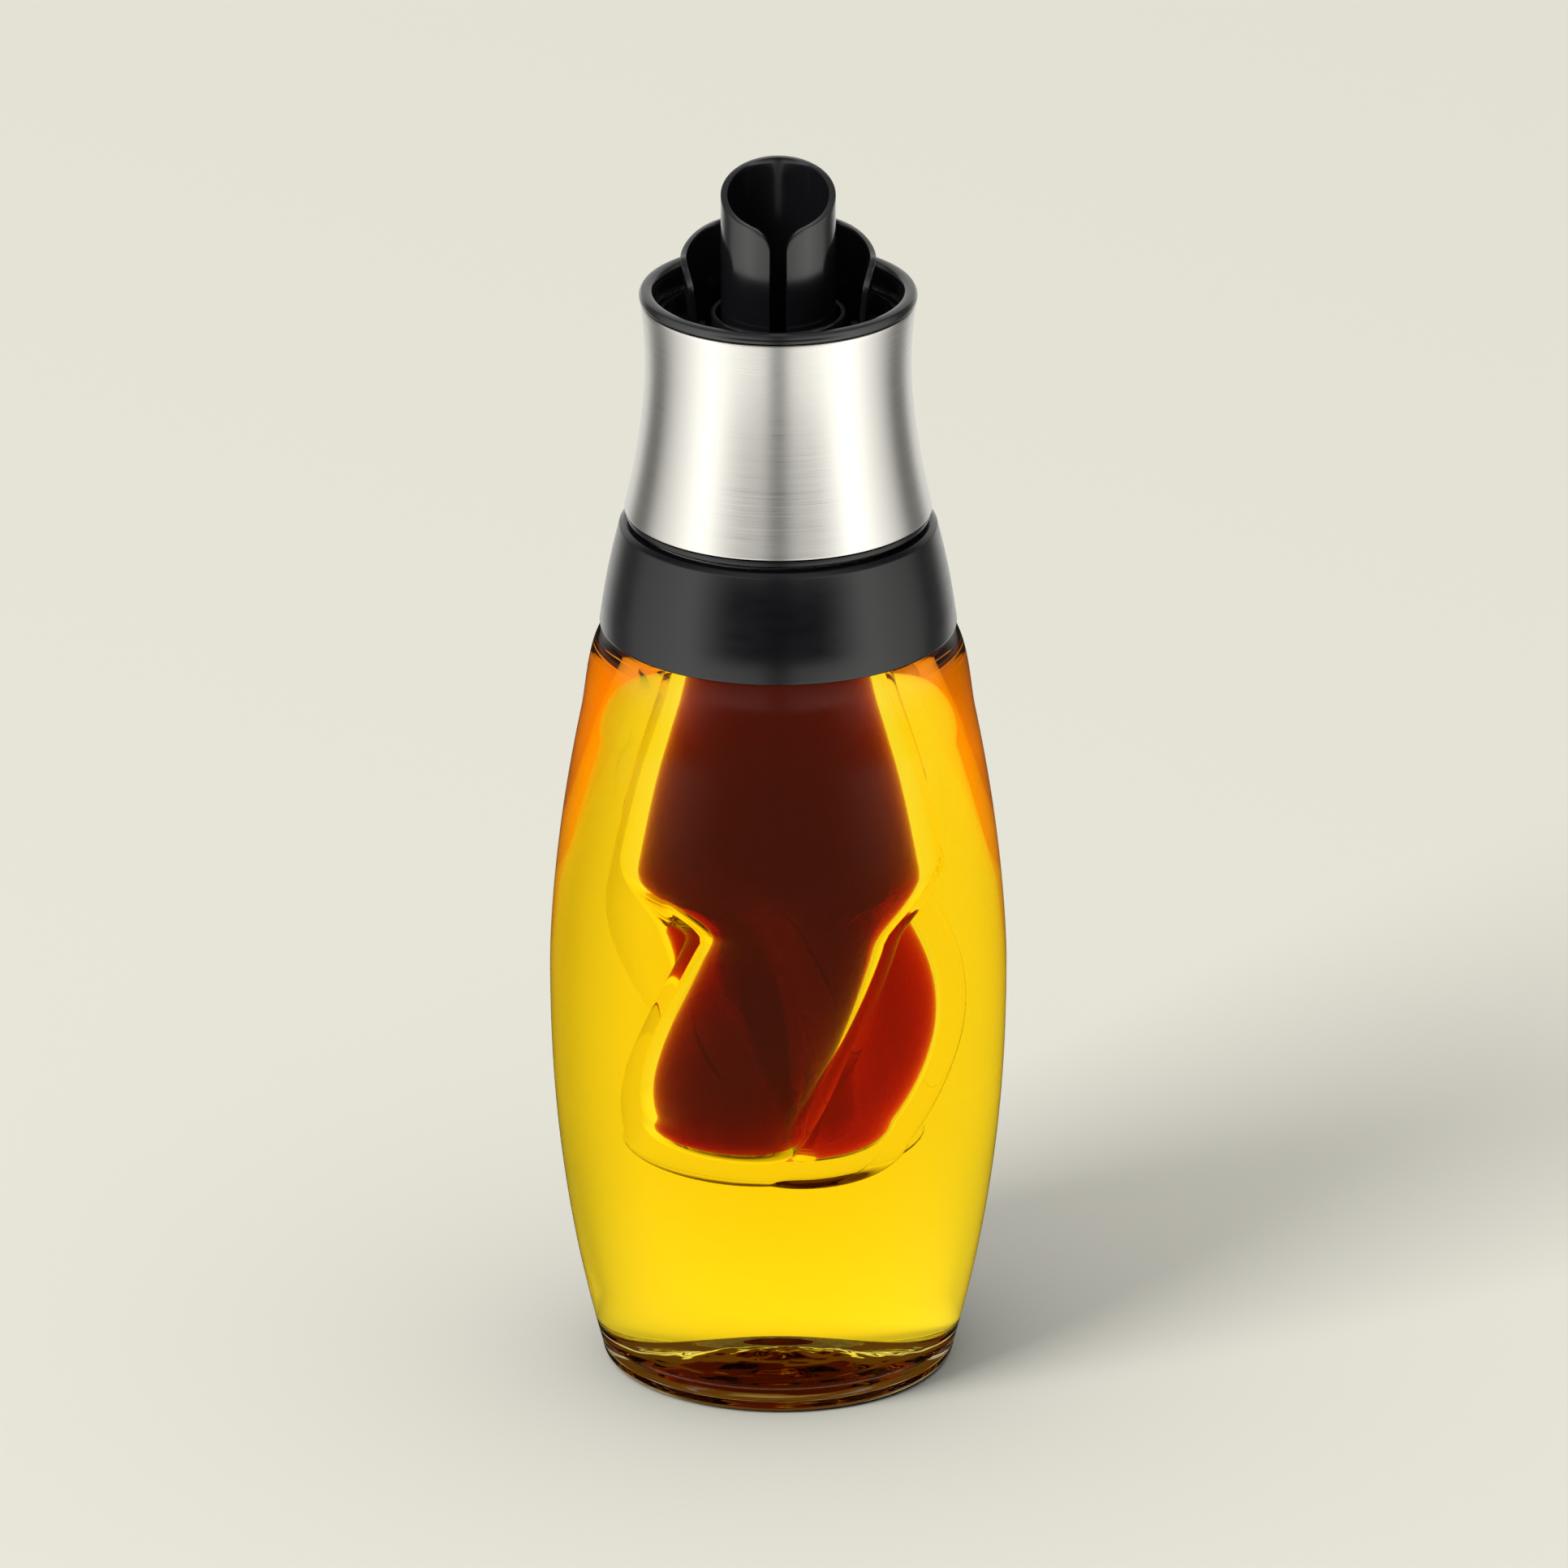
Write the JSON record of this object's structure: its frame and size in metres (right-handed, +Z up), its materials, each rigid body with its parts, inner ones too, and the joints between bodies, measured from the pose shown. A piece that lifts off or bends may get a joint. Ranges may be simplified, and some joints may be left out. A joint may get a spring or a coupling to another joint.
{
  "type": "oil and vinegar pourer",
  "caption": "Two-in-one oil and vinegar pourer: a glass bottle with a twisted inner vessel, and a steel twist collar that raises two concentric spouts.",
  "frame": {"origin": "centre of the circle that the bottle stands on", "axes": "+Z up along the bottle's axis; the front, with the drip slots, is -Y; both spouts pour towards +Y"},
  "size_m": [0.08, 0.08, 0.2198],
  "materials": {
    "bottle_glass": "clear, thick wall",
    "vessel_glass": "clear, blown",
    "inner_plastic": "moulded",
    "silicone": "matte",
    "black_satin": "satin",
    "black_gloss": "polished",
    "plain_steel": "ground",
    "acetal": "smooth",
    "brushed_steel": "brushed around the axis"
  },
  "bodies": {
    "bottle": {"outer_bottle": "bottle_glass"},
    "vessel_unit": {"inner_vessel": "vessel_glass", "vessel_carrier": "inner_plastic", "carrier_gasket": "silicone", "vessel_grommet": "silicone"},
    "head": {"base_ring": "black_satin", "neck_cap": "inner_plastic", "duct_block": "black_gloss", "cap_seal": "silicone", "vinegar_seal": "silicone", "vinegar_pipe_o_ring": "silicone", "oil_pipe_o_ring": "silicone", "guide_post_left": "plain_steel", "guide_post_right": "plain_steel", "slip_washer": "acetal", "retaining_ring": "plain_steel"},
    "collar": {"steel_sleeve": "brushed_steel", "collar_liner": "black_gloss", "rim_ring": "black_gloss", "step_ring": "black_satin"},
    "spouts": {"vinegar_spout": "black_gloss", "drip_ring": "black_gloss", "oil_spout": "black_gloss", "spout_carrier": "black_gloss", "cam_pin_left": "plain_steel", "cam_pin_right": "plain_steel"}
  },
  "joints": [
    {"name": "vessel_lift", "type": "slide", "parent": "bottle", "child": "vessel_unit", "axis": [0, 0, 1], "range_m": [0, 0.125]},
    {"name": "head_lift", "type": "slide", "parent": "vessel_unit", "child": "head", "axis": [0, 0, 1], "range_m": [0, 0.05]},
    {"name": "collar_twist", "type": "hinge", "parent": "head", "child": "collar", "pos_m": [0, 0, 0.177], "axis": [0, 0, 1], "range_deg": [-90, 0]},
    {"name": "spout_lift", "type": "slide", "parent": "head", "child": "spouts", "axis": [0, 0, 1], "range_m": [-0.0216, 0]}
  ],
  "couplings": [
    {"joint": "spout_lift", "follows": "collar_twist", "m_per_rad": 0.013687}
  ]
}
